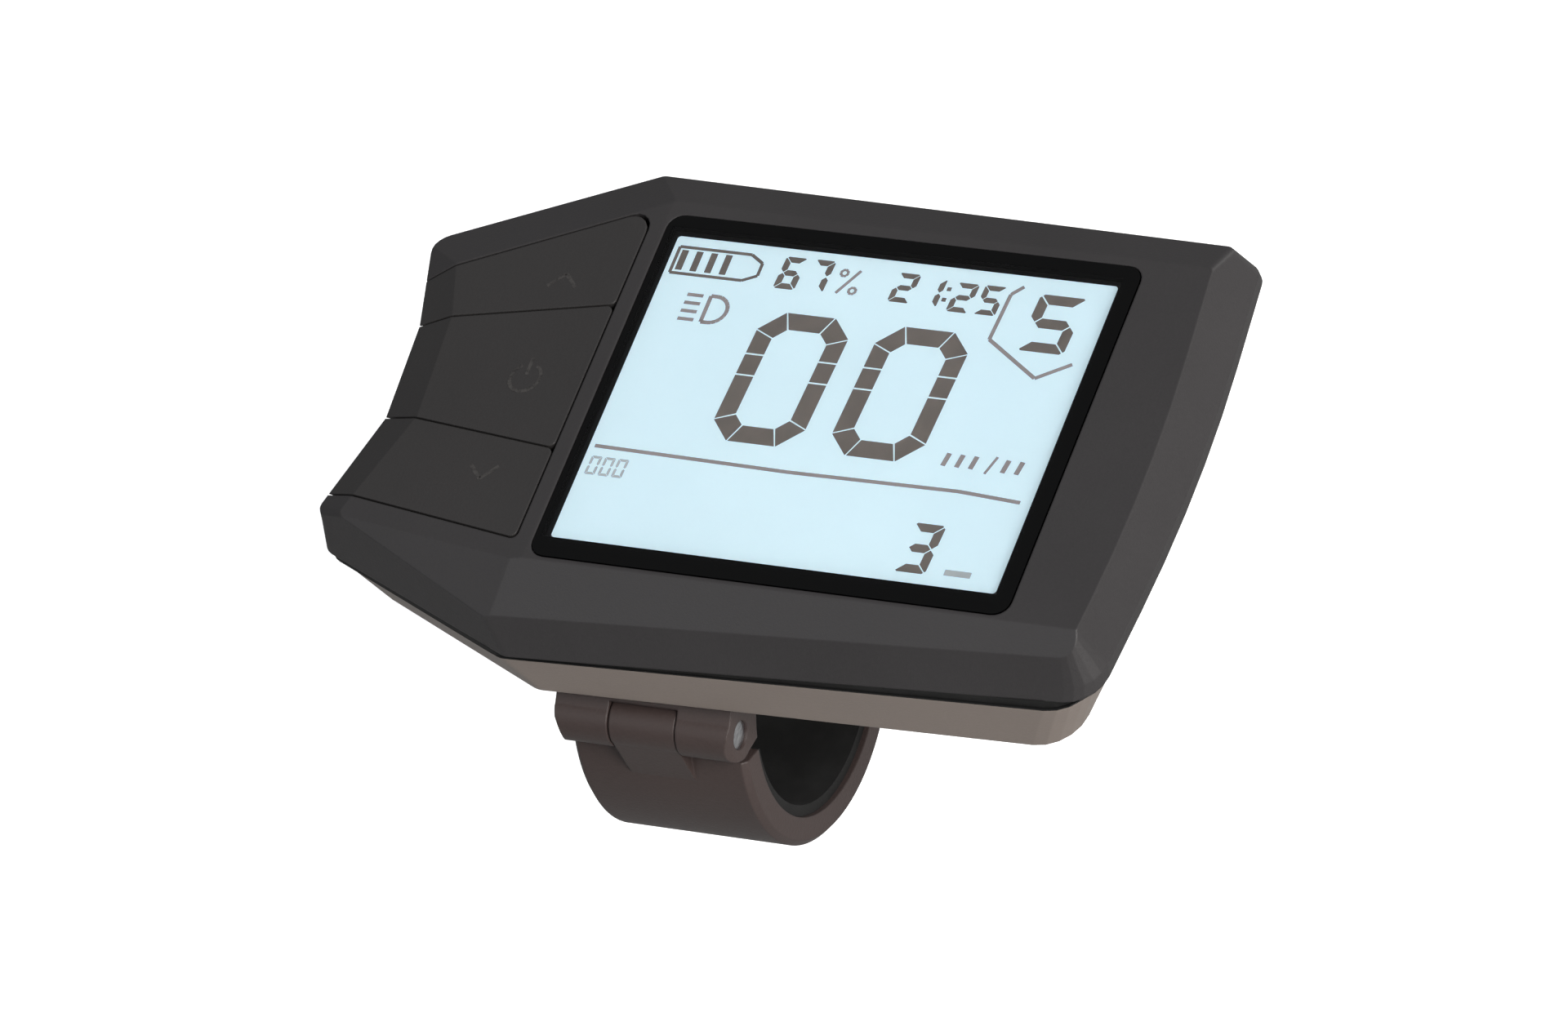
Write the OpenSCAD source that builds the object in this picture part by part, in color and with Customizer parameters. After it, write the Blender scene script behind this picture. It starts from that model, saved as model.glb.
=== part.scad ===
// Handlebar display with a hinged band clamp.
// X runs along the bar to the right, Y points away from the rider, Z is square to the screen.
// The origin is the centre of the clamp bore, and all lengths are in millimetres.

/* [Bar and clamp] */
// Diameter of the handlebar
bar_d = 22.2; // [20:0.1:25.4]
// Thickness of the rubber pads round the bar
liner_t = 1.0; // [0.6:0.1:1.6]
// Width of the clamp along the bar
clamp_w = 16.6; // [15:0.2:20]
// Thickness of the clamp band
band_t = 2.5; // [2:0.1:3.5]
// Thickness of the saddle above the bar
crown_t = 2.4; // [2:0.1:4]
// Width of the knuckle on the band
knuckle_w = 6.2; // [5:0.1:7.4]
// Outer radius of the hinge ears and the knuckle
hinge_r = 2.4; // [2.2:0.1:2.8]
// Diameter of the hinge pin
pin_d = 2.5; // [2:0.1:3]
// Angle of the hinge above the bar axis, on the rider's side
hinge_angle = 36; // [33:0.1:40]
// Height of the clamp's split above the bar axis
split_z = 4.5; // [3.5:0.1:5.5]
// Width of the split when the clamp is closed
split_gap = 1.0; // [0.6:0.1:1.5]
// Thickness of the lug under the clamp screw
lug_t = 3.0; // [2.5:0.1:4]
// Width of that lug
lug_w = 11.0; // [9:0.2:14]
// Diameter of the clamp screw at the root of its thread
screw_core_d = 2.5; // [2:0.1:3]
// Depth to which the clamp screw reaches into its insert
screw_grip = 6.0; // [5:0.1:6.5]

/* [Screen] */
// Width of the visible screen
window_w = 42.0; // [38:0.5:46]
// Height of the visible screen
window_h = 32.5; // [29:0.5:36]
// Distance from the middle of the clamp to the left edge of the screen
window_left = 6.8; // [5:0.1:9]
// Distance from the bar axis to the lower edge of the screen, towards the rider
window_low = 6.0; // [4:0.1:8]
// Black border of the lens on the left
border_left = 1.0; // [0.8:0.1:2]
// Black border of the lens on the right
border_right = 1.5; // [1.3:0.1:3]
// Black border of the lens at the top
border_top = 1.7; // [1:0.1:3]
// Black border of the lens at the bottom
border_low = 1.8; // [1:0.1:3]
// Thickness of the lens
lens_t = 1.0; // [0.8:0.1:1.5]
// Width of the ledge that the lens lies on
ledge_w = 0.9; // [0.7:0.1:1.2]

/* [Housing] */
// Thickness of the whole head
head_t = 13.0; // [12.6:0.1:16]
// Wall thickness of the shells
wall = 1.8; // [1.4:0.1:2.2]
// Floor thickness of the rear shell
floor_t = 2.0; // [1.8:0.1:2.2]
// Width of the housing from the lens to the right edge, at its middle
margin_right = 10.0; // [8.6:0.1:11]
// How far the right edge's middle stands out beyond its ends
side_bow = 1.9; // [0.5:0.1:2.5]
// Width of the housing above the lens, at the left
margin_top = 5.2; // [4.5:0.1:7]
// How much narrower it is at the right
top_drop = 0.7; // [0:0.05:1.5]
// Width of the housing below the lens, at the right
margin_low = 4.7; // [4:0.1:6]
// Further width below the lens, at the left
low_drop = 1.4; // [0:0.05:1.5]
// Width of the key wing, from the lens to the left corner
wing_w = 23.3; // [20:0.1:26]
// Fall of the wing to the left, in degrees
wing_fall = 5.3; // [4:0.1:6]
// Depth of the front shell at its right edge
front_depth = 5.1; // [4.5:0.1:5.5]
// Tilt of the parting line, in degrees
seam_tilt = 1.5; // [0.5:0.1:2]
// Width of the parting gap between the shells
seam_gap = 0.95; // [0.5:0.05:1]
// Slope of the light facet under the screen, in degrees
facet_angle = 37; // [34:1:42]
// Largest radius of the housing's corners
corner_size = 4.0; // [3:0.1:5]

/* [Keys] */
// Travel of the keys
key_travel = 0.5; // [0.3:0.05:0.6]
// Width of the grooves round the keys
key_gap = 0.2; // [0.18:0.01:0.35]
// Depth of the key bay below the face
bay_depth = 4.0; // [3.8:0.1:4.3]
// Radius of the key stems
stem_r = 1.2; // [1:0.05:1.5]

/* [Lead inlet] */
// Radius of the hole for the lead in its gland
lead_r = 2.25; // [1.8:0.05:2.5]
// Distance from the middle of the clamp to the gland
gland_x = 22.0; // [16:0.5:30]

/* [Hidden] */

// Smoothness of round parts, and the steps in a rounded corner of an outline
$fn = 64;
corner_steps = 5;
// Overrun of every cut, and a length that passes the whole object
over = 1.0;
reach = 160.0;
// Hair gap between flat faces that rest on each other, and a thin air gap
seat_gap = 0.02;
air_gap = 0.05;
// Clearance of a piece that drops into a recess
drop_gap = 0.1;

// Levels of the clamp and the head
bar_clearance = 0.05;
liner_in_r = bar_d / 2 + bar_clearance;
saddle_r = liner_in_r + liner_t;
pocket_depth = 1.5;
pad_top = saddle_r + crown_t;
back_z = pad_top - pocket_depth;
face_z = back_z + head_t;
floor_z = back_z + floor_t;
seam_z = face_z - front_depth;

// Lens and screen
lens_left = -window_left - border_left;
lens_right = -window_left + window_w + border_right;
lens_low = -window_low - border_low;
lens_top = -window_low + window_h + border_top;
lens_r = 1.5;
lens_proud = 0.05;
tape_t = 0.15;
ledge_t = 1.0;
lens_under = face_z + lens_proud - lens_t;
ledge_z = lens_under - tape_t;
ceiling_z = ledge_z - ledge_t;

// Outline of the housing at the rim level, counter-clockwise from the top right corner
rim_depth = 6.0;
rim_z = face_z - rim_depth;
head_right = lens_right + margin_right;
head_left = lens_left - wing_w;
head_top = lens_top + margin_top;
head_low = lens_low - margin_low - low_drop;
head_h = head_top - head_low;
// Wing corners as shares of the wing's width, from the lens, and of the head's height, from below
wing_shares = [[0.142, 1], [1, 0.824], [0.897, 0.624], [0.871, 0.419], [1, 0.175], [0.15, 0]];
wing_points = [for (s = wing_shares) [lens_left - s[0] * wing_w, head_low + s[1] * head_h]];
bow_y = (lens_top + lens_low) / 2;
rim_points = concat(
    [[head_right - side_bow, head_top - top_drop]], wing_points,
    [[head_right - side_bow, lens_low - margin_low], [head_right, bow_y]]);
edge_count = 9;
// Corner radii as shares of the largest, and the radius of the bowed right edge
corner_shares = [0.4, 0.5, 0.7, 0.3, 0.3, 0.4, 0.65, 1.0];
bow_r = 150.0;
// Share of a corner's radius that is lost between the rim and the face
crisp_share = 0.7;
apex = wing_points[0];
upper_corner = wing_points[1];
far_corner = wing_points[4];
low_corner = wing_points[5];

// Lean of the front shell's sides from upright, and of the rear shell's, edge by edge in degrees
front_leans = [5, 6, 4, 4, 4, 16, 27.5, 25, 31];
rear_leans = [5, 10, 32, 32, 32, 12, 4, 26, 26];
// Bevels round the face: their lean, and how far below the face they start
bevel_lean = 67;
top_bevel = 1.35;
side_bevel = 3.0;
bevel_starts = [top_bevel, 0, side_bevel, side_bevel, side_bevel, 0, 0, 0, 0];
rim_bevel_run = 4.7;
rim_bevel_drop = 1.2;
// How far each shell's rim stands back edge by edge, and the chamfer round the back
low_step = 0.5;
front_steps = [0, 0, 0, 0, 0, low_step, 0, 0, 0];
// The right side stands upright up to this height over the rim, and leans from there on
side_land = 2.0;
land_z = rim_z + side_land;
side_lands = [0, 0, 0, 0, 0, 0, 0, side_land, side_land];
right_step = 1.1;
rear_steps = [0, 0, 0, 0, 0, 0, 0, right_step, right_step];
rear_chamfer = 0.6;
// The seal lies in the parting gap between these two distances from the rear shell's rim
seal_out = 0.3;
seal_in = 1.6;
// Crease between the face and the wing, and the upper edge of the facet below the screen
crease_gap = 0.4;
crease_x = lens_left - crease_gap;
facet_strip = 0.43;
facet_y = lens_low - facet_strip;
// The wing's lower bevel meets that facet in a mitre near the low corner
mitre_side = 2.2;
mitre_x = lens_left - mitre_side;
mitre_share = 0.62;
mitre_shift = 0.5;
corner_bevel = 1.3;

// Screen stack under the ledge
window_side = 0.1;
panel_gap = 0.3;
panel_top = ceiling_z - panel_gap;
panel_t = 1.0;
panel_rim_left = 0.2;
panel_rim_right = 0.2;
panel_rim_low = 0.4;
panel_left = -window_left - panel_rim_left;
panel_right = -window_left + window_w + panel_rim_right;
panel_low = lens_low - panel_rim_low;
panel_high = lens_top + window_side;
board_gap = 0.6;
board_t = 1.6;
board_under = pad_top + floor_t + board_gap;
board_top = board_under + board_t;
tray_wall = 0.8;
tray_low = board_top + seat_gap;
tray_top = panel_top - panel_t - seat_gap;
tray_foot = 0.5;
guide_t = 2.4;
led_size = [1.0, 2.8, 1.2];
led_count = 3;

// Flexible tail of the panel and its connector
flex_t = 0.15;
flex_w = 10.0;
flex_bend_r = 0.6;
bend_angle = 15;
flex_x = 12.0;
flex_out = 1.0;
flex_rest = 0.3;
flex_rise = 0.6;
flex_y = panel_high + flex_out;
flex_start_y = lens_top - ledge_w + flex_rest;
flex_low = board_top + flex_rise;
connector_size = [12.0, 1.6, 1.4];

// Parts under the board
chip_size = 7.0;
chip_t = 1.0;
chip_place = [clamp_w + chip_size, window_h / 4];
part_space = 1.0;
board_rim = 0.6;

// Keys, drawn as rows between four lines that start at the right edge of the bay
bay_rim = 4.9;
low_rim = 2.2;
bay_gap = 1.8;
bay_right = lens_left - bay_gap;
bay_z = face_z - bay_depth;
shelf_t = 1.5;
shelf_under = bay_z - shelf_t;
key_rest_gap = 0.4;
key_lift = key_travel + key_rest_gap;
key_under = bay_z + key_lift;
groove_high_share = 0.682;
groove_low_share = 0.36;
key_corner_r = 0.6;
key_far_corner_r = 1.6;
stem_gap = 0.08;
sleeve_t = 0.5;
sheet_t = 0.25;
sheet_rim = 1.2;

// Snap switches on the board
switch_size = 4.5;
switch_h = 1.45;
plunger_r = 0.9;
plunger_h = 0.75;
plunger_proud = 0.6;
stem_under = board_top + switch_h + plunger_proud;

// Screws inside the head: places, and sizes of the two kinds
shell_screw_r = 1.0;
shell_head_r = 1.75;
shell_head_h = 1.5;
shell_screw_l = 6.8;
shell_boss_r = 2.0;
shell_pad_r = 3.0;
boss_rise = 0.9;
boss_joint_z = board_top + boss_rise;
low_screw_shift = 1.0;
post_shift = 1.4;
head_sink = 0.15;
thread_gap = 0.02;
hole_gap = 0.2;
board_screw_r = 0.9;
board_head_r = 1.7;
board_head_h = 1.2;
board_post_r = 1.7;
board_screw_l = 4.2;

// Clamp
knuckle_gap = 0.15;
hinge_land = 0.6;
pin_gap = 0.03;
slot_gap = 0.3;
hinge_reach = saddle_r + hinge_r + hinge_land;
hinge_y = -hinge_reach * cos(hinge_angle);
hinge_z = hinge_reach * sin(hinge_angle);
band_out_r = saddle_r + band_t;
screw_head_r = 2.75;
screw_head_h = 3.0;
screw_gap = 0.45;
screw_y = band_out_r + screw_head_r + screw_gap;
foot_z = split_z + split_gap / 2;
lug_top = split_z - split_gap / 2;
lug_under = lug_top - lug_t;
washer_t = 0.5;
washer_r = 3.0;
insert_r = 2.3;
foot_wall = 1.5;
foot_y = screw_y + insert_r + foot_wall;
band_start_angle = 155.5;
band_end_angle = 390;
band_edge = 0.5;
saddle_angle = 30;
saddle_liner_angle = 147;
band_liner_angles = [158.5, 375];
insert_play = 0.45;
lug_rim = 0.6;
lug_root = 2.0;

// Gland
gland_sleeve_r = 3.2;
gland_wall = 1.2;
gland_rise = 0.55;
gland_z = back_z + gland_rise;
gland_flange_r = 3.9;
gland_flange_t = 1.2;
gland_tail_l = 1.8;
gland_tail_t = 0.8;
gland_sleeve_l = 4.0;
gland_boss_l = 8.8;
gland_inset = 0.5;
gland_face_y = head_top - gland_inset;

// Points of the plane, and outlines with rounded corners

function unit(v) = v / norm(v);
function inward(u) = [-u[1], u[0]];
function cross2(a, b) = a[0] * b[1] - a[1] * b[0];
function meet(p, u, q, v) = p + u * cross2(q - p, v) / cross2(u, v);
function wrap(a) = a > 180 ? a - 360 : a < -180 ? a + 360 : a;
function mean(pts) = [for (s = pts) 1] * pts / len(pts);

// Every edge of a closed outline moves inwards by its own distance
function inset_points(pts, d) = [
    for (i = [0 : len(pts) - 1])
        let (h = (i + len(pts) - 1) % len(pts), j = (i + 1) % len(pts))
        let (u = unit(pts[i] - pts[h]), v = unit(pts[j] - pts[i]))
        meet(pts[i] + inward(u) * d[h], u, pts[i] + inward(v) * d[i], v)
];

function corner_arc(before, p, after, r) =
    let (a = unit(before - p), b = unit(after - p), half = acos(a * b) / 2)
    let (c = p + unit(a + b) * r / sin(half))
    let (s = p + a * r / tan(half) - c, e = p + b * r / tan(half) - c)
    let (start = atan2(s[1], s[0]), sweep = wrap(atan2(e[1], e[0]) - start))
    [for (k = [0 : corner_steps])
        let (angle = start + sweep * k / corner_steps)
        c + r * [cos(angle), sin(angle)]];

function rounded(pts, radii) = [
    for (i = [0 : len(pts) - 1])
        each corner_arc(pts[(i + len(pts) - 1) % len(pts)], pts[i], pts[(i + 1) % len(pts)], radii[i])
];

function raised(pts, z) = [for (p = pts) [p[0], p[1], z]];

// Corner radii of the housing's outline; the bowed edge keeps its radius
function corner_radii(fade) = concat([for (s = corner_shares) s * corner_size * fade], [bow_r]);

// The front shell's outline at a level: each side leans, and the bevels start near the face
function front_inset(i, z, bevel) =
    front_steps[i] + tan(front_leans[i])
        * (side_lands[i] > 0 ? max(0, z - rim_z - side_lands[i]) : z - rim_z)
        + bevel * max(0, z - face_z + bevel_starts[i]) * tan(bevel_lean);
function front_ring(z, bevel, more) =
    let (fade = 1 - crisp_share * max(0, z - rim_z) / rim_depth)
    raised(rounded(
        inset_points(rim_points, [for (i = [0 : edge_count - 1]) front_inset(i, z, bevel) + more]),
        corner_radii(fade)), z);

// The rear shell's outline at a level, with the chamfer round the back
function rear_inset(i, z) =
    rear_steps[i] + (rim_z - z) * tan(rear_leans[i]) + max(0, back_z + rear_chamfer - z);
function rear_ring(z, more) =
    raised(rounded(
        inset_points(rim_points, [for (i = [0 : edge_count - 1]) rear_inset(i, z) + more]),
        corner_radii(1)), z);

// Height of the wing's surface, and the four lines of the keys as height and slope
function wing_z(x) = face_z - max(0, crease_x - x) * tan(wing_fall);
function slope(a, b) = (b[1] - a[1]) / (b[0] - a[0]);
corner_bevel_point = inset_points(rim_points, [for (i = [0 : edge_count - 1]) corner_bevel])[5];
bay_top_slope = slope(apex, upper_corner);
bay_low_slope = slope([low_corner[0], facet_y], corner_bevel_point);
groove_high_y = head_low + groove_high_share * head_h;
groove_low_y = head_low + groove_low_share * head_h;
key_lines = [
    [apex[1] + (bay_right - apex[0]) * bay_top_slope - bay_rim * norm([1, bay_top_slope]), bay_top_slope],
    [groove_high_y, slope([bay_right, groove_high_y], wing_points[2])],
    [groove_low_y, slope([bay_right, groove_low_y], wing_points[3])],
    [facet_y + (bay_right - low_corner[0]) * bay_low_slope + low_rim, bay_low_slope]
];
function key_line(k, x, shift) = [x, key_lines[k][0] + (x - bay_right) * key_lines[k][1] + shift];

// Outline of the row between two lines, from the bay's right edge to beyond the wing's left edge
function row_points(top, low, shift) = [
    key_line(top, bay_right + shift, shift),
    key_line(top, head_left - over, shift),
    key_line(low, head_left - over, -shift),
    key_line(low, bay_right + shift, -shift)
];
row_radii = [key_corner_r, key_corner_r, key_corner_r, key_corner_r];
key_up_radii = [key_far_corner_r, key_corner_r, key_corner_r, key_corner_r];
far_edge_x = wing_points[3][0];
function key_centre(k) = mean([
    key_line(k, bay_right, 0), key_line(k, far_edge_x, 0),
    key_line(k + 1, far_edge_x, 0), key_line(k + 1, bay_right, 0)
]);

// Places of the screws, the posts and the parts on the board
side_x = panel_right + shell_boss_r + drop_gap;
shell_screw_places = [
    [side_x, head_top - top_drop - wall - shell_boss_r],
    [side_x, facet_y + low_screw_shift],
    [panel_left - shell_boss_r - drop_gap, head_top - wall - shell_boss_r],
    [bay_right - shell_pad_r + drop_gap, key_line(3, bay_right, 0)[1] + shell_pad_r]
];
post_x = key_centre(1)[0] - post_shift;
board_screw_places = [
    [side_x - drop_gap, (lens_top + lens_low) / 2],
    [post_x, (key_centre(0)[1] + key_centre(1)[1]) / 2],
    [post_x, (key_centre(1)[1] + key_centre(2)[1]) / 2]
];
base_screw_side = 2.7;
base_screw_x = clamp_w / 2 - base_screw_side;
base_screw_r = 1.05;
base_head_r = 1.9;
base_head_h = 1.05;
base_screw_bite = 1.0;
base_screw_low = saddle_r - base_screw_bite;
base_screw_angle = 34;
base_screw_far = 0.4;
base_screw_places = [
    for (x = [-base_screw_x, base_screw_x])
        for (y = [-saddle_r * sin(base_screw_angle), saddle_r + base_screw_far])
            [x, y]
];
pad_angle = 42;
pad_step = 1.0;
pad_y0 = -saddle_r * sin(pad_angle);
pad_y1 = foot_y - pad_step;
pad_gap = 0.15;

// Shared shapes

module loft(rings) {
    n = len(rings[0]);
    m = len(rings);
    polyhedron(
        points = [for (ring = rings) each ring],
        faces = concat(
            [[for (i = [0 : n - 1]) i]],
            [[for (i = [n - 1 : -1 : 0]) (m - 1) * n + i]],
            [for (k = [0 : m - 2]) for (i = [0 : n - 1])
                [k * n + i, (k + 1) * n + i, (k + 1) * n + (i + 1) % n]],
            [for (k = [0 : m - 2]) for (i = [0 : n - 1])
                [k * n + i, (k + 1) * n + (i + 1) % n, k * n + (i + 1) % n]]
        ));
}

// All that lies above the plane through three points, named counter-clockwise from above
module above(p, q, r) {
    n = unit(cross(q - p, r - p));
    translate(p)
        rotate(a = acos(n[2]), v = [-n[1], n[0], 0])
            translate([-reach / 2, -reach / 2, 0])
                cube([reach, reach, reach / 2]);
}

// A slab between two heights over the tilted parting plane
module seam_slab(low, high) {
    translate([head_right, 0, seam_z])
        rotate([0, -seam_tilt, 0])
            translate([-reach, -reach / 2, low])
                cube([2 * reach, reach, high - low]);
}

module block(x0, x1, y0, y1, z0, z1) {
    translate([x0, y0, z0])
        cube([x1 - x0, y1 - y0, z1 - z0]);
}

module column(place, r, z0, z1) {
    translate([place[0], place[1], z0])
        cylinder(r = r, h = z1 - z0);
}

module rounded_block(x0, x1, y0, y1, r, z0, z1) {
    translate([0, 0, z0])
        linear_extrude(z1 - z0)
            polygon(rounded([[x1, y1], [x0, y1], [x0, y0], [x1, y0]], [r, r, r, r]));
}

// A side view drawn as distance from the rider and height, drawn out along the bar
module along_bar(width) {
    translate([-width / 2, 0, 0])
        rotate([90, 0, 90])
            linear_extrude(width)
                children();
}

module bar_cylinder(r, width) {
    translate([-width / 2, 0, 0])
        rotate([0, 90, 0])
            cylinder(r = r, h = width);
}

module hinge_cylinder(r, width) {
    translate([0, hinge_y, hinge_z])
        bar_cylinder(r, width);
}

// A ring sector round the bar; angles run from the far side over the top to the rider's side
module bar_sector(r_in, r_out, width, from, to, edge) {
    rotate([90, 0, 90])
        rotate([0, 0, from])
            rotate_extrude(angle = to - from)
                polygon([
                    [r_in, -width / 2], [r_out - edge, -width / 2], [r_out, edge - width / 2],
                    [r_out, width / 2 - edge], [r_out - edge, width / 2], [r_in, width / 2]
                ]);
}

// Housing

// The moulded outer form of the front shell and the keys, with all its facets
module front_form() {
    side_start = face_z - side_bevel;
    top_start = face_z - top_bevel;
    low_level = seam_z - (head_right - head_left) * tan(seam_tilt) - over;
    n = inward(unit(upper_corner - apex));
    apex_in = apex + n * rim_bevel_run;
    corner_in = upper_corner + n * rim_bevel_run;
    mitre_run = mitre_share * (facet_y - low_corner[1]);
    difference() {
        loft([for (z = [low_level, land_z, side_start, top_start, face_z]) front_ring(z, 1, 0)]);
        above([crease_x, 0, face_z], [crease_x, head_top, face_z], [head_left, 0, wing_z(head_left)]);
        above([0, facet_y, face_z], [0, facet_y - head_t, face_z - head_t * tan(facet_angle)],
            [head_right, facet_y, face_z]);
        above([apex_in[0], apex_in[1], wing_z(apex_in[0])],
            [apex[0], apex[1], wing_z(apex[0]) - rim_bevel_drop],
            [corner_in[0], corner_in[1], wing_z(corner_in[0])]);
        above([mitre_x, facet_y, wing_z(mitre_x)],
            [corner_bevel_point[0], corner_bevel_point[1], wing_z(corner_bevel_point[0])],
            [mitre_x - mitre_shift, facet_y - mitre_run, face_z - mitre_run * tan(facet_angle)]);
    }
}

module key_bay() {
    translate([0, 0, bay_z])
        linear_extrude(reach)
            polygon(rounded(row_points(0, 3, key_gap / 2), key_up_radii));
}

module front_shell() {
    color("#3a393a")
        difference() {
            union() {
                difference() {
                    front_form();
                    seam_slab(-reach / 2, 0);
                    difference() {
                        loft([for (z = [rim_z - rim_depth, land_z, ceiling_z]) front_ring(z, 0, wall)]);
                        block(head_left, panel_left - drop_gap - hole_gap, -reach, reach,
                            shelf_under, reach);
                    }
                    rounded_block(lens_left - drop_gap, lens_right + drop_gap, lens_low - drop_gap,
                        lens_top + drop_gap, lens_r, ledge_z, reach);
                    rounded_block(lens_left + ledge_w, lens_right - ledge_w, lens_low + ledge_w,
                        lens_top - ledge_w, lens_r / 2, rim_z, reach);
                    key_bay();
                }
                intersection() {
                    union() {
                        for (p = shell_screw_places) {
                            column(p, shell_boss_r, boss_joint_z,
                                p[0] > 0 ? ceiling_z + over : shelf_under + over);
                        }
                        for (p = board_screw_places) {
                            column(p, board_post_r, board_top + seat_gap,
                                p[0] > 0 ? ceiling_z + over : shelf_under + over);
                        }
                    }
                    loft([for (z = [rim_z - rim_depth, land_z, ceiling_z + over])
                        front_ring(z, 0, wall / 2)]);
                }
            }
            for (p = shell_screw_places) {
                column(p, shell_screw_r + thread_gap, boss_joint_z - over, bay_z - hole_gap);
            }
            for (p = board_screw_places) {
                column(p, board_screw_r + thread_gap, board_top - over, bay_z - hole_gap);
            }
            for (k = [0 : 2]) {
                column(key_centre(k), stem_r + stem_gap + sleeve_t + air_gap,
                    shelf_under - over, bay_z + over);
            }
        }
}

module rear_shell() {
    pocket_x = clamp_w / 2 + pad_gap;
    color("#7d7868")
        difference() {
            union() {
                difference() {
                    loft([for (z = [back_z, back_z + rear_chamfer, seam_z + over]) rear_ring(z, 0)]);
                    seam_slab(-seam_gap, reach / 2);
                    loft([rear_ring(floor_z, wall), rear_ring(seam_z + 2 * over, wall)]);
                }
                intersection() {
                    loft([rear_ring(back_z, 0), rear_ring(seam_z + over, 0)]);
                    union() {
                        for (p = shell_screw_places) {
                            column(p, shell_boss_r, floor_z - over, boss_joint_z - seat_gap);
                            column(p, shell_pad_r, floor_z - over, floor_z + over);
                        }
                        block(-pocket_x - wall, pocket_x + wall,
                            pad_y0 - pad_gap - wall, pad_y1 + pad_gap + wall,
                            floor_z - over, pad_top + floor_t);
                    }
                }
                gland_boss();
            }
            block(-pocket_x, pocket_x, pad_y0 - pad_gap, pad_y1 + pad_gap,
                back_z - over, pad_top + seat_gap);
            for (p = shell_screw_places) {
                column(p, shell_screw_r + hole_gap, back_z - over, boss_joint_z + over);
                column(p, shell_head_r + hole_gap, back_z - over,
                    back_z + head_sink + shell_head_h + seat_gap);
            }
            for (p = base_screw_places) {
                column(p, base_screw_r + hole_gap, back_z - over, pad_top + floor_t + over);
                column(p, base_head_r + drop_gap, pad_top + floor_t - base_head_h - air_gap - seat_gap,
                    pad_top + floor_t + over);
            }
            translate([gland_x, gland_face_y + over, gland_z])
                rotate([90, 0, 0])
                    cylinder(r = gland_sleeve_r, h = gland_boss_l + over);
            block(gland_x - lead_r, gland_x + lead_r, gland_face_y - gland_boss_l,
                gland_face_y - gland_sleeve_l - over, gland_z, reach);
        }
}

// Round boss through the far wall, blended into the floor of the rear shell
module gland_boss() {
    boss_r = gland_sleeve_r + gland_wall;
    difference() {
        union() {
            translate([gland_x, gland_face_y, gland_z])
                rotate([90, 0, 0])
                    cylinder(r = boss_r, h = gland_boss_l);
            translate([gland_x, gland_face_y - gland_boss_l, gland_z])
                sphere(r = boss_r);
        }
        block(gland_x - boss_r - over, gland_x + boss_r + over, -reach, panel_high + 2 * drop_gap,
            board_under - 2 * drop_gap, reach);
    }
}

module housing_seal() {
    color("#1b1b1b")
        intersection() {
            difference() {
                loft([for (z = [rim_z - rim_depth / 2, rim_z + rim_depth / 2]) seal_ring(z, seal_out)]);
                loft([for (z = [rim_z - rim_depth, rim_z + rim_depth]) seal_ring(z, seal_in)]);
            }
            seam_slab(seat_gap - seam_gap, -seat_gap);
        }
}

function seal_ring(z, more) = raised(rounded(
    inset_points(rim_points, [for (i = [0 : edge_count - 1]) rear_steps[i] + more]), corner_radii(1)), z);

// Screen

module display_lens() {
    color("#101114")
        rounded_block(lens_left, lens_right, lens_low, lens_top, lens_r - drop_gap,
            lens_under, face_z + lens_proud);
}

module lens_tape() {
    tape_w = ledge_w - drop_gap;
    color("#222222")
        difference() {
            rounded_block(lens_left, lens_right, lens_low, lens_top, lens_r - drop_gap,
                ledge_z + seat_gap, lens_under - seat_gap);
            rounded_block(lens_left + tape_w, lens_right - tape_w, lens_low + tape_w, lens_top - tape_w,
                lens_r / 2, ledge_z - over, lens_under + over);
        }
}

// Front glass in the window and the larger rear glass under the ledge
module lcd_panel() {
    side = ledge_w + window_side;
    color("#cfe8f2") {
        block(lens_left + side, panel_right - window_side, lens_low + side, lens_top - side,
            panel_top, lens_under - air_gap);
        block(panel_left, panel_right, panel_low, panel_high, panel_top - panel_t, panel_top);
    }
}

module panel_gasket() {
    side = ledge_w - window_side;
    color("#2a2a2a")
        difference() {
            block(panel_left, panel_right, panel_low, lens_top - ledge_w - seat_gap,
                panel_top + seat_gap, ceiling_z - seat_gap);
            block(lens_left + side, lens_right - side, lens_low + side, reach, rim_z, reach);
        }
}

module backlight_tray() {
    inner_z = tray_top - guide_t - air_gap;
    color("#e9e9e4")
        difference() {
            block(panel_left, panel_right, panel_low, panel_high, tray_low, tray_top);
            for (z = [[inner_z, tray_top + over], [tray_low - over, tray_low + tray_foot]]) {
                block(panel_left + tray_wall, panel_right - tray_wall,
                    panel_low + tray_wall, panel_high - tray_wall, z[0], z[1]);
            }
        }
}

module light_guide() {
    inner_z = tray_top - guide_t - air_gap;
    color("#dff1f5")
        block(panel_left + tray_wall + drop_gap, panel_right - tray_wall - led_size[0] - 2 * drop_gap,
            panel_low + tray_wall + drop_gap, panel_high - tray_wall - drop_gap,
            inner_z + seat_gap, tray_top - air_gap);
}

module backlight_leds() {
    inner_z = tray_top - guide_t - air_gap;
    x1 = panel_right - tray_wall - seat_gap;
    mid_y = (panel_low + panel_high) / 2;
    pitch = (panel_high - panel_low) / led_count;
    color("#f2efb6")
        for (k = [0 : led_count - 1]) {
            y = mid_y + (k - (led_count - 1) / 2) * pitch;
            block(x1 - led_size[0], x1, y - led_size[1] / 2, y + led_size[1] / 2,
                inner_z + seat_gap, inner_z + led_size[2]);
        }
}

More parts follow.
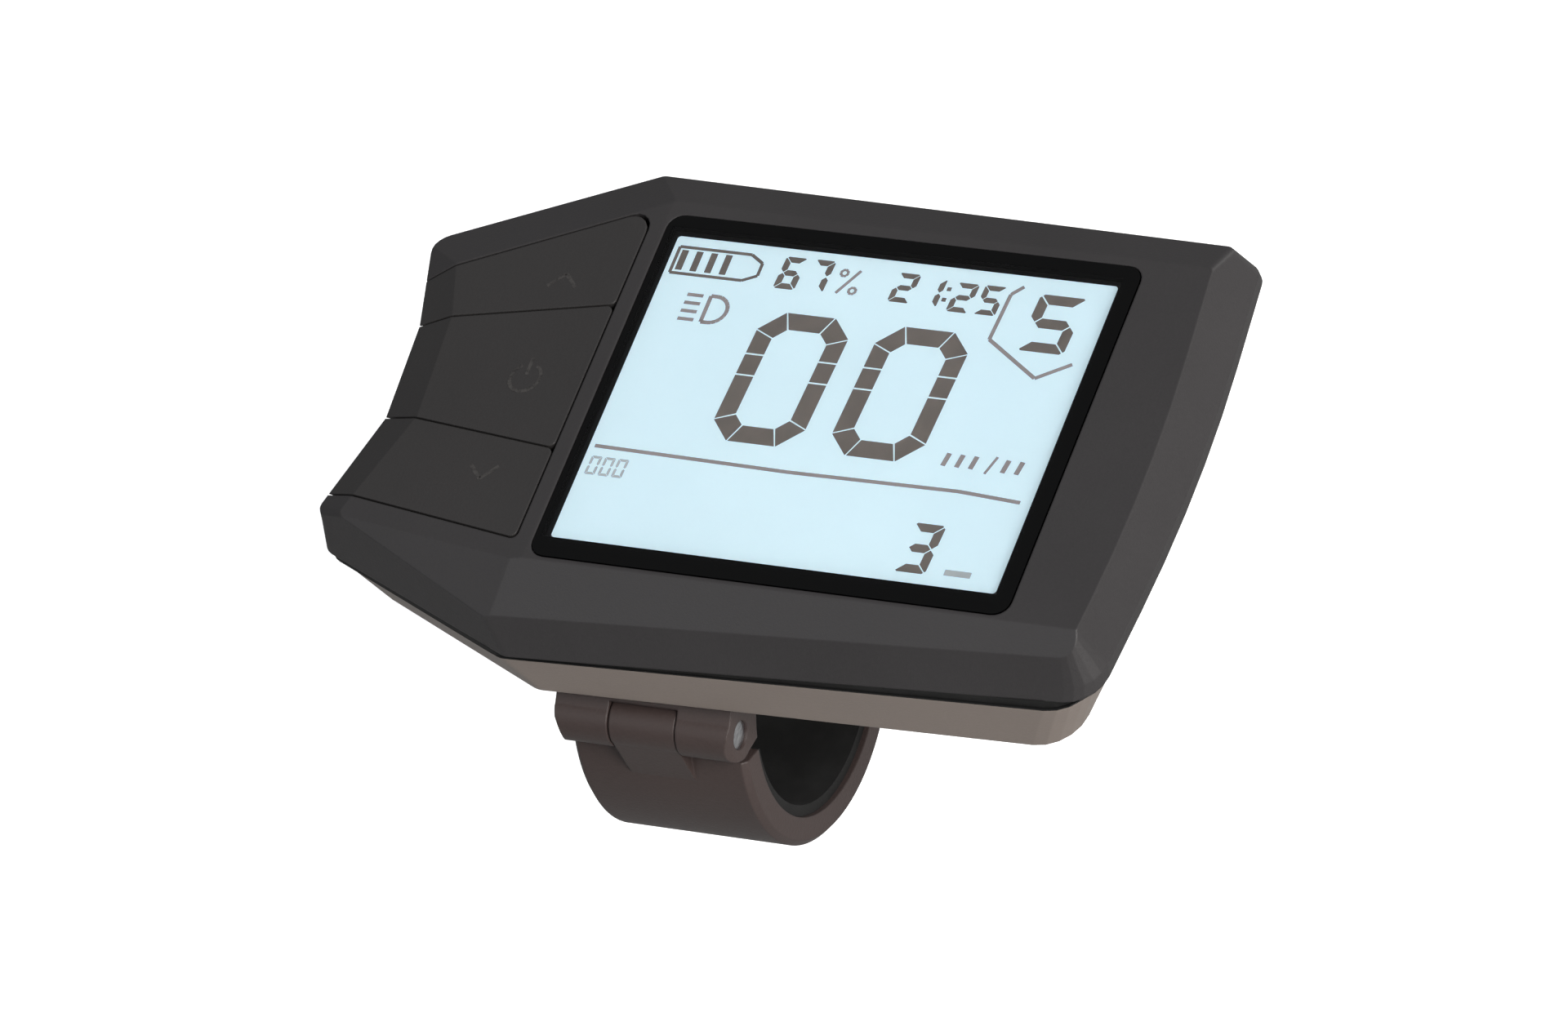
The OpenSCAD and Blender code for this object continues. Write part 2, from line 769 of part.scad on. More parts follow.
// Flexible tail: along the panel's top ledge, round a bend and down into its connector
module lcd_flex() {
    flat_z = panel_top + seat_gap;
    centre = [flex_y - flex_bend_r, flat_z + flex_t - flex_bend_r];
    color("#b5742c")
        translate([flex_x - flex_w / 2, 0, 0])
            rotate([90, 0, 90])
                linear_extrude(flex_w)
                    polygon(concat(
                        [[flex_start_y, flat_z + flex_t], [flex_start_y, flat_z]],
                        [for (a = [90 : -bend_angle : 0])
                            centre + (flex_bend_r - flex_t) * [cos(a), sin(a)]],
                        [[flex_y - flex_t, flex_low], [flex_y, flex_low]],
                        [for (a = [0 : bend_angle : 90]) centre + flex_bend_r * [cos(a), sin(a)]]
                    ));
}

module flex_connector() {
    y0 = flex_y - connector_size[1] / 2;
    x0 = flex_x - connector_size[0] / 2;
    color("#e5ddc8")
        difference() {
            block(x0, x0 + connector_size[0], y0, y0 + connector_size[1],
                board_top + seat_gap, board_top + connector_size[2]);
            block(flex_x - flex_w / 2 - drop_gap, flex_x + flex_w / 2 + drop_gap,
                flex_y - flex_t - drop_gap, flex_y + drop_gap, flex_low - drop_gap, reach);
        }
}

// Board and what is on it

module circuit_board() {
    left_x = post_x - board_post_r - board_rim;
    tab_y = board_screw_places[0][1];
    tab_x = side_x + board_post_r;
    connector_y = flex_y + connector_size[1] / 2 + drop_gap;
    color("#1f5a34")
        difference() {
            union() {
                translate([0, 0, board_under])
                    linear_extrude(board_t)
                        polygon([
                            [panel_right, panel_high], [panel_left, panel_high],
                            [bay_right, key_line(0, bay_right, 0)[1] - wall],
                            [left_x, key_line(0, left_x, 0)[1] - wall],
                            [left_x, key_line(3, left_x, 0)[1] + wall],
                            [bay_right, panel_low], [panel_right, panel_low]
                        ]);
                block(panel_right - over, tab_x, tab_y - 2 * board_post_r, tab_y + 2 * board_post_r,
                    board_under, board_top);
                block(flex_x - connector_size[0] / 2 - drop_gap, flex_x + connector_size[0] / 2 + drop_gap,
                    panel_high - over, connector_y, board_under, board_top);
            }
            for (p = shell_screw_places) {
                column(p, shell_boss_r + hole_gap, board_under - over, board_top + over);
            }
            for (p = board_screw_places) {
                column(p, board_screw_r + hole_gap, board_under - over, board_top + over);
            }
        }
}

module controller_chip() {
    color("#17181a")
        block(chip_place[0] - chip_size / 2, chip_place[0] + chip_size / 2,
            chip_place[1] - chip_size / 2, chip_place[1] + chip_size / 2,
            board_under - seat_gap - chip_t, board_under - seat_gap);
}

// Coil, capacitors and crystal in a row beside the chip
module board_parts() {
    part_l = 3.0;
    part_t = 1.2;
    part_shares = [1, 0.875, 0.75, 0.625];
    x0 = chip_place[0] - chip_size / 2;
    y1 = chip_place[1] - chip_size / 2 - part_space;
    color("#6b5b45")
        for (k = [0 : 3]) {
            x = x0 + k * (part_l + part_space);
            w = part_l * part_shares[k];
            block(x, x + w, y1 - w, y1, board_under - seat_gap - part_t, board_under - seat_gap);
        }
}

module lead_connector() {
    header_w = 7.0;
    header_d = 4.5;
    header_h = 1.7;
    y0 = chip_place[1] + chip_size / 2 + part_space;
    slot = 0.8;
    color("#efe9d6")
        difference() {
            block(gland_x, gland_x + header_w, y0, y0 + header_d,
                board_under - seat_gap - header_h, board_under - seat_gap);
            block(gland_x + slot, gland_x + header_w - slot, y0 + slot, y0 + header_d + over,
                board_under - header_h + slot / 2, board_under - slot / 2);
        }
}

module tact_switches() {
    color("#26262a")
        for (k = [0 : 2]) {
            c = key_centre(k);
            difference() {
                block(c[0] - switch_size / 2, c[0] + switch_size / 2,
                    c[1] - switch_size / 2, c[1] + switch_size / 2,
                    board_top + seat_gap, board_top + switch_h);
                column(c, plunger_r + stem_gap, stem_under - plunger_h - key_travel - air_gap, reach);
            }
        }
}

module switch_plunger(k) {
    color("#c9c4b8")
        column(key_centre(k), plunger_r, stem_under - plunger_h, stem_under - seat_gap);
}

// Keys

// A key is cut out of the front shell's own form, so its top runs on into the shell's
module key_cap(k, radii) {
    color("#353435")
        union() {
            intersection() {
                front_form();
                translate([0, 0, key_under])
                    linear_extrude(reach)
                        polygon(rounded(row_points(k, k + 1, -key_gap / 2), radii));
            }
            column(key_centre(k), stem_r, stem_under, key_under + over);
        }
}

// Silicone sheet on the shelf, with a sleeve round each stem in the shelf's holes
module key_seal() {
    color("#1d1d1f")
        difference() {
            union() {
                intersection() {
                    translate([0, 0, bay_z + seat_gap])
                        linear_extrude(sheet_t)
                            polygon(rounded(row_points(0, 3, -key_gap), key_up_radii));
                    loft([front_ring(rim_z, 0, sheet_rim), front_ring(face_z, 0, sheet_rim)]);
                }
                for (k = [0 : 2]) {
                    column(key_centre(k), stem_r + stem_gap + sleeve_t,
                        shelf_under, bay_z + seat_gap + sheet_t / 2);
                }
            }
            for (k = [0 : 2]) {
                column(key_centre(k), stem_r + stem_gap, rim_z - rim_depth, reach);
            }
        }
}

// Screws of the head

// A plain cap screw; up is 1 where its shank points up from its head and -1 where it points down
module plain_screw(place, seat_z, head_r, head_h, r, l, up) {
    translate([place[0], place[1], seat_z])
        mirror([0, 0, up > 0 ? 0 : 1])
            difference() {
                union() {
                    translate([0, 0, -head_h])
                        cylinder(r = head_r, h = head_h);
                    translate([0, 0, -head_h / 2])
                        cylinder(r = r, h = l + head_h / 2);
                }
                for (turn = [0, 90]) {
                    rotate([0, 0, turn])
                        translate([-head_r / 2, -head_r / 8, -head_h - over])
                            cube([head_r, head_r / 4, over + head_h / 2]);
                }
            }
}

module shell_screws() {
    color("#9a9a98")
        for (p = shell_screw_places) {
            plain_screw(p, back_z + head_sink + shell_head_h, shell_head_r, shell_head_h,
                shell_screw_r, shell_screw_l, 1);
        }
}

module board_screws() {
    color("#9a9a98")
        for (p = board_screw_places) {
            plain_screw(p, board_under - seat_gap, board_head_r, board_head_h,
                board_screw_r, board_screw_l, 1);
        }
}

module base_screws() {
    color("#9a9a98")
        for (p = base_screw_places) {
            plain_screw(p, pad_top + floor_t - base_head_h - air_gap, base_head_r, base_head_h, base_screw_r,
                pad_top + floor_t - base_head_h - base_screw_low, -1);
        }
}

// Gland: a sleeve in the rear shell's boss, a flange outside it and a short tapered tail
module cable_gland() {
    color("#1c1c1d")
        translate([gland_x, gland_face_y, gland_z])
            rotate([-90, 0, 0])
                rotate_extrude()
                    polygon([
                        [lead_r, -gland_sleeve_l], [gland_sleeve_r - seat_gap, -gland_sleeve_l],
                        [gland_sleeve_r - seat_gap, seat_gap], [gland_flange_r, seat_gap],
                        [gland_flange_r, gland_flange_t], [gland_sleeve_r, gland_flange_t],
                        [lead_r + gland_tail_t, gland_flange_t + gland_tail_l],
                        [lead_r, gland_flange_t + gland_tail_l]
                    ]);
}

// Clamp

module clamp_base() {
    shoulder_step = 2.0;
    shoulder_y = pad_y0 - shoulder_step;
    ear_shares = [0.75, 0.66];
    core_share = 0.5;
    slot_back = 0.4;
    root_y = -saddle_r * cos(saddle_angle);
    core_x0 = insert_r + foot_wall;
    core_x1 = clamp_w / 2 - foot_wall;
    core_y0 = band_out_r + split_gap;
    plan_r = 2.5;
    color("#3d3835")
        difference() {
            intersection() {
                union() {
                    along_bar(clamp_w)
                        polygon([
                            [shoulder_y, back_z - seat_gap],
                            [hinge_y - hinge_r * ear_shares[0], hinge_z + hinge_r * ear_shares[1]],
                            [hinge_y, hinge_z - hinge_r], [root_y, saddle_r * sin(saddle_angle)],
                            [0, saddle_r * core_share], [saddle_r, foot_z], [foot_y, foot_z],
                            [foot_y, back_z - foot_wall], [foot_y - foot_wall, back_z - seat_gap]
                        ]);
                    hinge_cylinder(hinge_r, clamp_w);
                    block(-clamp_w / 2, clamp_w / 2, pad_y0, pad_y1, back_z - over, pad_top - seat_gap);
                }
                rounded_block(-clamp_w / 2, clamp_w / 2, hinge_y - hinge_r - over, foot_y, plan_r,
                    -reach / 2, reach / 2);
            }
            bar_cylinder(saddle_r, reach);
            hinge_cylinder(pin_d / 2 + seat_gap, reach);
            hinge_cylinder(hinge_r + slot_gap, knuckle_w + 2 * knuckle_gap);
            block(-knuckle_w / 2 - knuckle_gap, knuckle_w / 2 + knuckle_gap, -reach / 2,
                root_y - slot_back, -reach / 2, hinge_z);
            column([0, screw_y], insert_r + seat_gap, foot_z - over, foot_z + screw_grip + over);
            for (side = [-1, 1]) {
                translate([side * (core_x0 + core_x1) / 2, 0, 0])
                    block((core_x0 - core_x1) / 2, (core_x1 - core_x0) / 2, core_y0, foot_y - foot_wall,
                        foot_z - over, back_z - 2 * foot_wall);
            }
            for (p = base_screw_places) {
                column(p, base_screw_r + thread_gap, base_screw_low - air_gap, pad_top + over);
            }
        }
}

module saddle_liner() {
    color("#161616")
        bar_sector(liner_in_r, saddle_r - seat_gap, clamp_w - over, saddle_angle, saddle_liner_angle, 0);
}

module band_liner() {
    color("#161616")
        bar_sector(liner_in_r, saddle_r - seat_gap, clamp_w - over, band_liner_angles[0],
            band_liner_angles[1], 0);
}

module threaded_insert() {
    color("#b08d45")
        translate([0, screw_y, foot_z])
            difference() {
                cylinder(r = insert_r, h = screw_grip);
                translate([0, 0, -over])
                    cylinder(r = screw_core_d / 2 + insert_play, h = screw_grip + 2 * over);
            }
}

module hinge_pin() {
    color("#b9bbbd")
        hinge_cylinder(pin_d / 2, clamp_w - over / 2);
}

// The band: a ring sector, the knuckle with its strap, and the lug under the screw
module clamp_band() {
    knuckle_r = hinge_r - drop_gap;
    lug_y1 = screw_y + washer_r + lug_rim;
    lug_r = 2.4;
    strap_in = saddle_r + hole_gap;
    strap_angles = [for (turn = [10, 4, -0.5]) band_start_angle + turn];
    strap_shares = [[0.97, 0.2], [0.6, 0.75]];
    color("#4a4440")
        difference() {
            union() {
                difference() {
                    bar_sector(saddle_r, band_out_r, clamp_w, band_start_angle, band_end_angle, band_edge);
                    block(-reach, reach, 0, reach, lug_top, reach);
                }
                hinge_cylinder(knuckle_r, knuckle_w);
                along_bar(knuckle_w)
                    polygon([
                        [hinge_y - knuckle_r * strap_shares[0][0], hinge_z - knuckle_r * strap_shares[0][1]],
                        [band_out_r * cos(strap_angles[0]), band_out_r * sin(strap_angles[0])],
                        [strap_in * cos(strap_angles[1]), strap_in * sin(strap_angles[1])],
                        [strap_in * cos(strap_angles[2]), strap_in * sin(strap_angles[2])],
                        [hinge_y + knuckle_r * strap_shares[1][0], hinge_z - knuckle_r * strap_shares[1][1]]
                    ]);
                difference() {
                    rounded_block(-lug_w / 2, lug_w / 2, saddle_r - lug_root, lug_y1, lug_r,
                        lug_under, lug_top);
                    bar_cylinder(saddle_r, reach);
                }
            }
            hinge_cylinder(pin_d / 2 + pin_gap * 2, reach);
            column([0, screw_y], screw_core_d / 2 + hole_gap, lug_under - over, lug_top + over);
        }
}

module clamp_washer() {
    color("#c4c6c8")
        difference() {
            column([0, screw_y], washer_r, lug_under - washer_t, lug_under - seat_gap);
            column([0, screw_y], screw_core_d / 2 + hole_gap, lug_under - washer_t - over, lug_under + over);
        }
}

module clamp_screw() {
    socket_r = 1.44;
    socket_depth = 1.6;
    head_top_z = lug_under - washer_t - seat_gap;
    color("#c4c6c8")
        difference() {
            union() {
                column([0, screw_y], screw_head_r, head_top_z - screw_head_h, head_top_z);
                column([0, screw_y], screw_core_d / 2, head_top_z - screw_head_h / 2, foot_z + screw_grip);
            }
            translate([0, screw_y, head_top_z - screw_head_h - over])
                cylinder(r = socket_r, h = socket_depth + over, $fn = 6);
        }
}

front_shell();
display_lens();
lens_tape();
lcd_panel();
panel_gasket();
light_guide();
backlight_tray();
backlight_leds();
lcd_flex();
flex_connector();
circuit_board();
controller_chip();
board_parts();
lead_connector();
tact_switches();
switch_plunger(0);  // switch_plunger_up
switch_plunger(1);  // switch_plunger_power
switch_plunger(2);  // switch_plunger_down
key_cap(0, key_up_radii);  // key_up
key_cap(1, row_radii);  // key_power
key_cap(2, row_radii);  // key_down
key_seal();
housing_seal();
board_screws();
rear_shell();
shell_screws();
cable_gland();
clamp_base();
base_screws();
threaded_insert();
hinge_pin();
clamp_band();
saddle_liner();
band_liner();
clamp_screw();
clamp_washer();
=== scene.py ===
import bpy
import numpy as np
from mathutils import Matrix, Vector


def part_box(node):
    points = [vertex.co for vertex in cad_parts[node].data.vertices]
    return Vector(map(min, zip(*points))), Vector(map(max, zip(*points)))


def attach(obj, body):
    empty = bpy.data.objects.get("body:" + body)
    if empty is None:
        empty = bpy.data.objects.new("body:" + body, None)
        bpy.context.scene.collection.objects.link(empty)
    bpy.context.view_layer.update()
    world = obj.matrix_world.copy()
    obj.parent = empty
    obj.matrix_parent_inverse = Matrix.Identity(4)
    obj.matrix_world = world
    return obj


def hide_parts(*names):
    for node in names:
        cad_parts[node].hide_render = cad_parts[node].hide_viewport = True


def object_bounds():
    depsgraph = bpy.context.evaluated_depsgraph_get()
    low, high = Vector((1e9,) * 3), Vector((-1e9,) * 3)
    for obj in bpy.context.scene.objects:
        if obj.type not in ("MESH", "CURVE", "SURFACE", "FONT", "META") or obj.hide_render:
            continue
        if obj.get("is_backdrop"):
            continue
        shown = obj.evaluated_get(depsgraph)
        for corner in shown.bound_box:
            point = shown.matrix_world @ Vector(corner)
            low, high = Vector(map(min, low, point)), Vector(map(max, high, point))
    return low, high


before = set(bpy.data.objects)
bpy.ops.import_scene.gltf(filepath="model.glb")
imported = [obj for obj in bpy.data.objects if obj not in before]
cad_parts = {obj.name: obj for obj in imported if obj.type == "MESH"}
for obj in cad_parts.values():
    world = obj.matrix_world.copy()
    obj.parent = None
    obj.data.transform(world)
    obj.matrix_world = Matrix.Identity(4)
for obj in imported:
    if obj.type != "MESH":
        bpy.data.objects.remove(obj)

cad_low, cad_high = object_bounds()

MM = 0.001

# Front shell
# The dark upper half of the housing, injection moulded in ABS with a spark-eroded satin texture.
# It is one piece with the key shelf and the screw bosses, and its arrises come out a little soft.


class Wire:
    """An output socket in a Python expression: adding, subtracting or multiplying wires adds
    Math nodes."""

    def __init__(self, tree, socket=None):
        self.tree = tree
        self.socket = socket

    def node(self, kind, settings=None, values=None, output=0):
        """Any other node: its type, its settings, then the values or wires of its sockets."""
        made = self.tree.nodes.new("ShaderNode" + kind)
        for name, value in (settings or {}).items():
            if name == "stops":
                ramp = made.color_ramp
                while len(ramp.elements) < len(value):
                    ramp.elements.new(0.5)
                for element, (place, level) in zip(ramp.elements, value):
                    element.position = place
                    element.color = (level, level, level, 1)
            else:
                setattr(made, name, value)
        for name, value in (values or {}).items():
            if isinstance(value, Wire):
                self.tree.links.new(value.socket, made.inputs[name])
            else:
                made.inputs[name].default_value = value
        return Wire(self.tree, made.outputs[output])

    def math(self, operation, *others):
        """self put through a Math node with the other operands."""
        values = dict(enumerate((self,) + others))
        return self.node("Math", {"operation": operation}, values)

    def __add__(self, other):
        return self.math("ADD", other)

    __radd__ = __add__

    def __mul__(self, other):
        return self.math("MULTIPLY", other)

    __rmul__ = __mul__

    def __sub__(self, other):
        return self.math("SUBTRACT", other)

    def __rsub__(self, other):
        return (self * -1.0) + other

    def ramp(self, *stops):
        """self carried through a ramp of grey levels."""
        return self.node("ValToRGB", {"stops": stops}, {"Fac": self})

    def blend(self, low, high):
        """A colour that goes from low to high, colours or wires, as self goes from 0 to 1."""
        return self.node("Mix", {"data_type": "RGBA"}, {0: self, 6: low, 7: high}, output=2)

    def noise(self, size, detail=2.0, roughness=0.5, distortion=0.0):
        """Noise about 0.5 with features of that size in metres, on self as the coordinates."""
        return self.node("TexNoise", {}, {
            "Vector": self, "Scale": 1.0 / size, "Detail": detail, "Roughness": roughness,
            "Distortion": distortion})


def new_finish(name, **plain):
    """A material with one Principled shader, its plain sockets set, and a wire on object
    coordinates."""
    material = bpy.data.materials.new(name)
    material.use_nodes = True
    tree = material.node_tree
    tree.nodes.clear()
    output = tree.nodes.new("ShaderNodeOutputMaterial")
    shader = tree.nodes.new("ShaderNodeBsdfPrincipled")
    tree.links.new(shader.outputs[0], output.inputs["Surface"])
    for socket, value in plain.items():
        shader.inputs[socket.replace("_", " ")].default_value = value
    return material, shader, Wire(tree).node("TexCoord", output="Object")


def feed(shader, **wires):
    """Links wires to the shader's sockets by name."""
    for socket, wire in wires.items():
        wire.tree.links.new(wire.socket, shader.inputs[socket.replace("_", " ")])


def tone(level, *tint):
    """A linear colour from sRGB steps 0 to 255: one grey step, or red, green and blue."""
    steps = np.array((level,) + tint if tint else (level,) * 3) / 255.0
    linear = np.where(steps <= 0.04045, steps / 12.92, ((steps + 0.055) / 1.055) ** 2.4)
    return tuple(float(v) for v in linear) + (1.0,)


cloud_size = 18 * MM
cloud_share = 0.6
cloud_rough, grain_rough = 0.12, 0.1
straight_up = 0.98


def moulded(name, colour, spread, rough, grain, depth, arris, upward_shade=None):
    """Moulded plastic: colour varied by spread over broad clouds, a fine spark texture of that
    grain and depth, roughness that follows the clouds, and arrises rounded to a radius in metres.
    Given an upward_shade colour, the faces that look straight up take that colour as painted shade."""
    material, shader, where = new_finish(name)
    cloud = where.noise(cloud_size, 3.0)
    fine = where.noise(grain, 2.0, 0.6)
    dark = tuple(v * (1 - spread) for v in colour[:3]) + (1.0,)
    light = tuple(v * (1 + spread) for v in colour[:3]) + (1.0,)
    mottle = (cloud * cloud_share + fine * (1 - cloud_share)).ramp((0.3, 0.0), (0.7, 1.0))
    rounded = where.node("Bevel", {"samples": 6}, {"Radius": arris})
    bump = where.node("Bump", {}, {
        "Strength": 1.0, "Distance": depth, "Height": fine, "Normal": rounded})
    shade = mottle.blend(dark, light)
    # Painted shade: the faces that look straight up take the dark upward_shade colour.
    if upward_shade:
        facing = where.node("TexCoord", output="Normal")
        rise = where.node("SeparateXYZ", {}, {"Vector": facing}, output=2)
        shade = rise.math("GREATER_THAN", straight_up).blend(shade, upward_shade)
    least_rough = rough - (cloud_rough + grain_rough) / 2
    feed(shader, Base_Color=shade, Normal=bump,
         Roughness=cloud * cloud_rough + (fine * grain_rough + least_rough))
    return material


def paint(material, *names):
    """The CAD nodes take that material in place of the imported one."""
    for name in names:
        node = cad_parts[name]
        node.data.materials.clear()
        node.data.materials.append(material)


front_plastic = moulded("front_plastic", tone(50, 48, 49), spread=0.10, rough=0.48,
                        grain=0.22 * MM, depth=0.014 * MM, arris=0.22 * MM)
paint(front_plastic, "front_shell")

# Rear shell
# The lower half of the housing, moulded in a paler warm grey, with the boss for the lead. Four
# screws from behind hold it to the front shell. Its upward faces, the edge in the parting gap among
# them, are painted near-black: painted shade for the gap.
rear_plastic = moulded("rear_plastic", tone(132, 121, 114), spread=0.08, rough=0.42,
                       grain=0.25 * MM, depth=0.014 * MM, arris=0.3 * MM, upward_shade=tone(14))
paint(rear_plastic, "rear_shell")

# Seals and pads
# The profile in the parting gap, the sheet under the keys, the pads on the bar and the lead's gland
# are moulded in black rubber, matt and faintly dusty.


def rubber(name, colour, rough, bloom):
    """Rubber: black with a pale bloom in patches, matt, with a soft fine pitting."""
    material, shader, where = new_finish(name, Specular_IOR_Level=0.35)
    patches = where.noise(5 * MM, 4.0, 0.6).ramp((0.45, 0.0), (0.75, 1.0))
    pits = where.noise(0.3 * MM, 3.0)
    feed(shader, Base_Color=patches.blend(colour, bloom), Roughness=patches * 0.15 + rough,
         Normal=where.node("Bump", {}, {"Distance": 0.012 * MM, "Height": pits}))
    return material


black_rubber = rubber("black_rubber", tone(22), rough=0.72, bloom=tone(34))
paint(black_rubber, "housing_seal", "key_seal", "saddle_liner", "band_liner", "cable_gland")

# Screen glass
# A flat plate of clear hard-coated acrylic, bonded in flush. Its underside carries a black printed
# mask that frames the window, and a foam tape holds it to the ledge.
window_low = np.array([-6.8, -5.4]) * MM
window_high = np.array([34.7, 26.5]) * MM
window_corner = 0.35 * MM
clear_overlap = 0.45 * MM
printed_black, clear_tint = (0.001, 0.001, 0.0012, 1), (0.97, 0.985, 0.99, 1)


def inside(where, low, high):
    """1 where the coordinates lie between low and high in x and y, else 0."""
    split = [where.node("SeparateXYZ", {}, {"Vector": where}, output=k) for k in (0, 1)]
    past = [wire.math("GREATER_THAN", float(edge)) for wire, edge in zip(split, low)]
    short = [wire.math("LESS_THAN", float(edge)) for wire, edge in zip(split, high)]
    return past[0] * short[0] * (past[1] * short[1])


lens_glass, shader, where = new_finish(
    "lens_glass", IOR=1.3, Transmission_Weight=1.0, Specular_IOR_Level=0.06)
smears = where.noise(9 * MM, 4.0, 0.55, distortion=1.2).ramp((0.5, 0.0), (0.8, 1.0))
clear = inside(where, window_low - clear_overlap, window_high + clear_overlap)
feed(shader, Base_Color=clear.blend(printed_black, clear_tint), Roughness=smears * 0.035 + 0.012)
paint(lens_glass, "display_lens")

foam, shader, where = new_finish("foam_tape", Specular_IOR_Level=0.25)
cells = where.node("TexVoronoi", {}, {"Vector": where, "Scale": 1 / (0.2 * MM)})
feed(shader, Base_Color=cells.ramp((0.1, 0.4), (0.6, 1.0)).blend(tone(14), tone(26)),
     Roughness=cells * 0.1 + 0.8,
     Normal=where.node("Bump", {}, {"Distance": 0.02 * MM, "Height": cells}))
paint(foam, "lens_tape", "panel_gasket")


def mesh_piece(name, points, faces, material, body, slot, *stands_for):
    """A piece from points in metres and faces; it rides the body and may stand for CAD nodes."""
    mesh = bpy.data.meshes.new(name)
    mesh.from_pydata(np.asarray(points).tolist(), [], [list(map(int, f)) for f in faces])
    mesh.validate()
    mesh.materials.append(material)
    piece = bpy.data.objects.new(name, mesh)
    bpy.context.scene.collection.objects.link(piece)
    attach(piece, body)
    if stands_for:
        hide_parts(*stands_for)


def rounded_outline(low, high, radius, steps=8):
    """A rectangle with rounded corners, counter-clockwise: each corner's centre plus radius at its
    angles."""
    low, high = np.array(low, float), np.array(high, float)
    centres = np.array([[high[0] - radius, high[1] - radius], [low[0] + radius, high[1] - radius],
                        [low[0] + radius, low[1] + radius], [high[0] - radius, low[1] + radius]])
    angles = np.linspace(0, np.pi / 2, steps)[None, :] + np.arange(4)[:, None] * np.pi / 2
    ring = centres[:, None, :] + radius * np.stack([np.cos(angles), np.sin(angles)], 2)
    return ring.reshape(-1, 2)


def ring_faces(count, rings, closed=True):
    """Quads between neighbouring rings of count points; closed, the last ring joins the first."""
    i = np.arange(count)
    rows = np.arange(rings if closed else rings - 1)[:, None]
    a = rows * count + i
    b = rows * count + (i + 1) % count
    c = (rows + 1) % rings * count + (i + 1) % count
    d = (rows + 1) % rings * count + i
    return np.stack([a, b, c, d], 2).reshape(-1, 4)


mask_ink, shader, where = new_finish("mask_ink", Specular_IOR_Level=0.4)
speckle = where.noise(0.4 * MM, 3.0)
feed(shader, Base_Color=speckle.blend(tone(2), tone(6)), Roughness=speckle * 0.1 + 0.35)

lens_low, lens_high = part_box("display_lens")
glass_edge, glass_corner = 0.05 * MM, 1.35 * MM
mask_lift, mask_depth = 0.012 * MM, 0.02 * MM
mask_top = lens_low[2] - mask_lift
mask_under = mask_top - mask_depth
outer = rounded_outline(np.array(lens_low[:2]) + glass_edge, np.array(lens_high[:2]) - glass_edge,
                        glass_corner)
inner = rounded_outline(window_low, window_high, window_corner)
levels = [(outer, mask_top), (outer, mask_under), (inner, mask_under), (inner, mask_top)]
points = np.concatenate([np.column_stack([ring, np.full(len(ring), z)]) for ring, z in levels])
faces = ring_faces(len(outer), len(levels))[:, ::-1]
mesh_piece("screen_mask", points, faces, mask_ink, "head", "black_foam")

# Liquid crystal panel
# Two thin glasses with a polariser, lit from behind to a pale cold blue; the glow is partly that
# backlight and partly painted light for the daylight that the lens glass keeps off. Its dark
# segments
# show through the window: a charge bar, a clock, a level in a shield, a lamp sign and four
# readings.
face_scale = 1.019
face_left, face_top = -6.8, 26.5
figure_lean = 0.05
segment_lift, segment_depth = 0.004 * MM, 0.008 * MM

# Painted light: the emission is partly the backlight and partly the daylight that the glass lens
# keeps off.
panel_blue, shader, where = new_finish("panel_blue", Specular_IOR_Level=0.4, Emission_Strength=0.45)
glow = where.noise(22 * MM, 1.5)
grain = where.noise(0.25 * MM, 1.0)
lit = (glow * 0.8 + grain * 0.2).blend(tone(199, 223, 234), tone(213, 235, 243))
feed(shader, Base_Color=lit, Emission_Color=lit, Roughness=glow * 0.1 + 0.25)
paint(panel_blue, "lcd_panel")


def bar(x0, y0, x1, y1, width):
    """Outline of a straight bar between two points: each point, half the width to either side."""
    start, end = np.array([x0, y0], float), np.array([x1, y1], float)
    along = (end - start) / np.linalg.norm(end - start)
    side = np.array([-along[1], along[0]]) * width / 2
    return np.array([start - side, end - side, end + side, start + side])


def polyline(points, width, closed=False):
    """Bars from point to point, with square ends that meet at the corners."""
    points = np.array(points + points[:1] if closed else points, float)
    return [bar(*a, *b, width) for a, b in zip(points[:-1], points[1:])]


def arc(x, y, r, start, end, width, steps=20):
    """Bars round part of a circle; angles in degrees, clockwise on the face from the right."""
    a = np.radians(np.linspace(start, end, steps))
    return polyline([[x + r * c, y + r * s] for c, s in zip(np.cos(a), np.sin(a))], width)


SEGMENTS = {  # the dark ones of a top, b and c right, d bottom, e and f left, g middle
    "0": "abcdef", "1": "bc", "2": "abged", "3": "abgcd", "5": "afgcd", "6": "afgedc", "7": "abc"}


def figure(value, x, y, w, h, thick):
    """Seven-segment figure in a box from x, y that leans a little. The bars are mitred with a hair
    gap where they meet, clipped at the figure's corners and pointed at its waist."""
    t, mid, gap, clip = thick, h / 2, 0.09 * thick, 0.3 * thick
    top = [(gap + clip, 0), (w - gap - clip, 0), (w - gap - clip / 2, clip / 2),
           (w - t - gap, t), (t + gap, t), (gap + clip / 2, clip / 2)]
    side = [(0, gap + clip), (clip / 2, gap + clip / 2), (t, t + gap),
            (t, mid - t / 2 - gap), (t / 2, mid - gap), (0, mid - t / 2 - gap)]
    waist = [(t / 2 + gap, mid), (t + gap, mid - t / 2), (w - t - gap, mid - t / 2),
             (w - t / 2 - gap, mid), (w - t - gap, mid + t / 2), (t + gap, mid + t / 2)]
    bars = {"a": (top, 0, 0), "b": (side, 1, 0), "c": (side, 1, 1), "d": (top, 0, 1),
            "e": (side, 0, 1), "f": (side, 0, 0), "g": (waist, 0, 0)}
    rings = []
    for name in SEGMENTS[value]:
        outline, across, down = bars[name]
        ring = np.abs(np.array(outline, float) - np.array([w * across, h * down]))
        ring[:, 0] += figure_lean * (mid - ring[:, 1])
        rings.append(ring + (x, y))
    return rings


